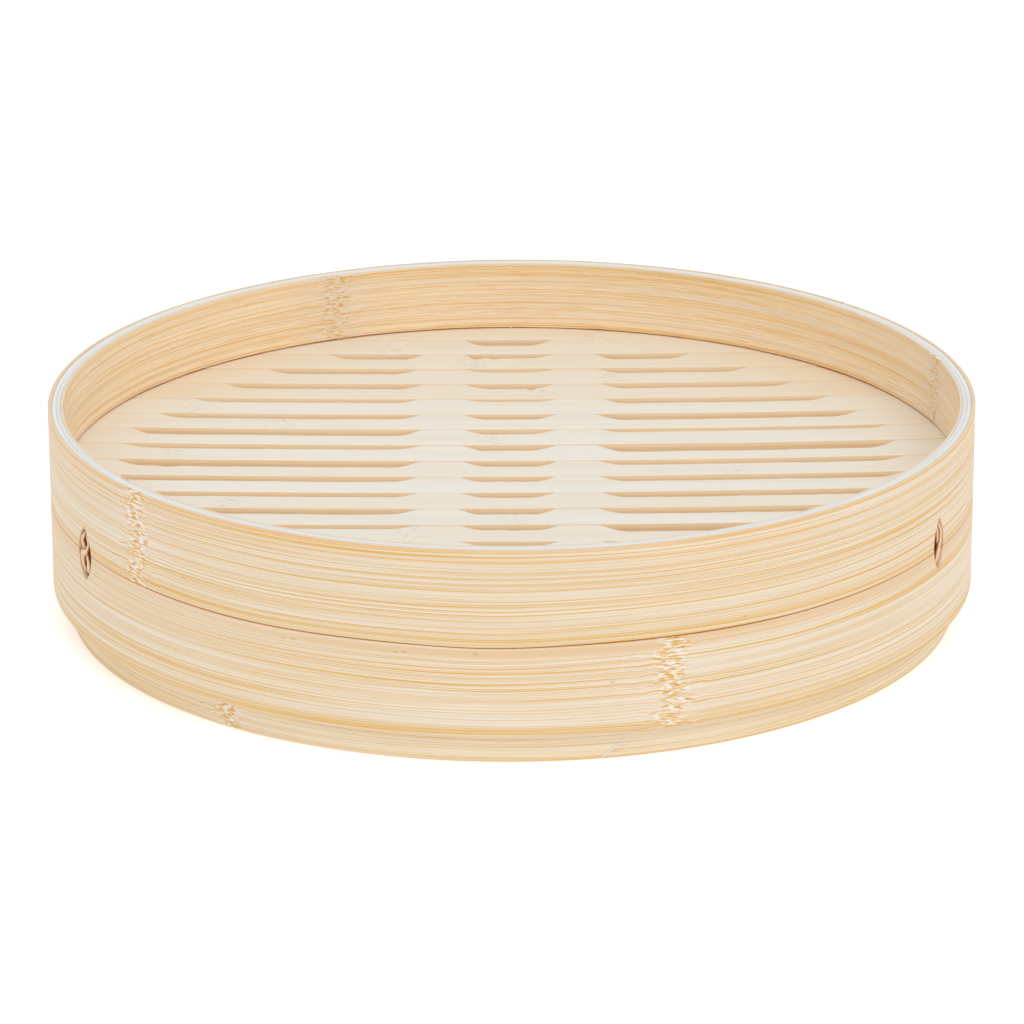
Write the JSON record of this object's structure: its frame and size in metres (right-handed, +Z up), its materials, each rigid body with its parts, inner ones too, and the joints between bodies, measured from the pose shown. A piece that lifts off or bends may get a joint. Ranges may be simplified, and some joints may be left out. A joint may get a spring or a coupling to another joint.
{
  "type": "bamboo steamer basket",
  "caption": "Round bamboo steamer tier: a laced, hoop-built wall around a floor of slotted slats, with a foot that nests in the rim of the tier below.",
  "frame": {"origin": "centre of the foot's bottom edge, on the surface the basket stands on", "axes": "+Z up along the wall's axis; the slats run along X and the cross bars along Y; -Y is the front, where the foot's diagonal joint shows"},
  "size_m": [0.3, 0.3, 0.07],
  "materials": {
    "bamboo_band": "satin bamboo, grain running round the wall, honey streaks",
    "bamboo_core": "matt, pale strip edge",
    "bamboo_lining": "satin bamboo, warm tan",
    "bamboo_foot": "satin bamboo, pale",
    "bamboo_bar": "matt bamboo",
    "bamboo_slat": "matt cream bamboo, fine straight grain",
    "bamboo_lace": "peeled bamboo strip, slightly glossy"
  },
  "bodies": {
    "root": {"upper_outer_band": "bamboo_band", "lower_outer_band": "bamboo_band", "core_hoop_outer": "bamboo_core", "core_hoop_inner": "bamboo_core", "upper_lining_hoop": "bamboo_lining", "lower_packing_hoop": "bamboo_lining", "foot_hoop": "bamboo_foot", "cross_bar_left": "bamboo_bar", "cross_bar_right": "bamboo_bar", "slat_01": "bamboo_slat", "slat_02": "bamboo_slat", "slat_03": "bamboo_slat", "slat_04": "bamboo_slat", "slat_05": "bamboo_slat", "slat_06": "bamboo_slat", "slat_07": "bamboo_slat", "slat_08": "bamboo_slat", "slat_09": "bamboo_slat", "slat_10": "bamboo_slat", "slat_11": "bamboo_slat", "slat_12": "bamboo_slat", "slat_13": "bamboo_slat", "slat_14": "bamboo_slat", "slat_15": "bamboo_slat", "slat_16": "bamboo_slat", "slat_17": "bamboo_slat", "slat_18": "bamboo_slat", "slat_19": "bamboo_slat", "lace_left": "bamboo_lace", "lace_right": "bamboo_lace", "lace_back": "bamboo_lace"}
  },
  "joints": []
}
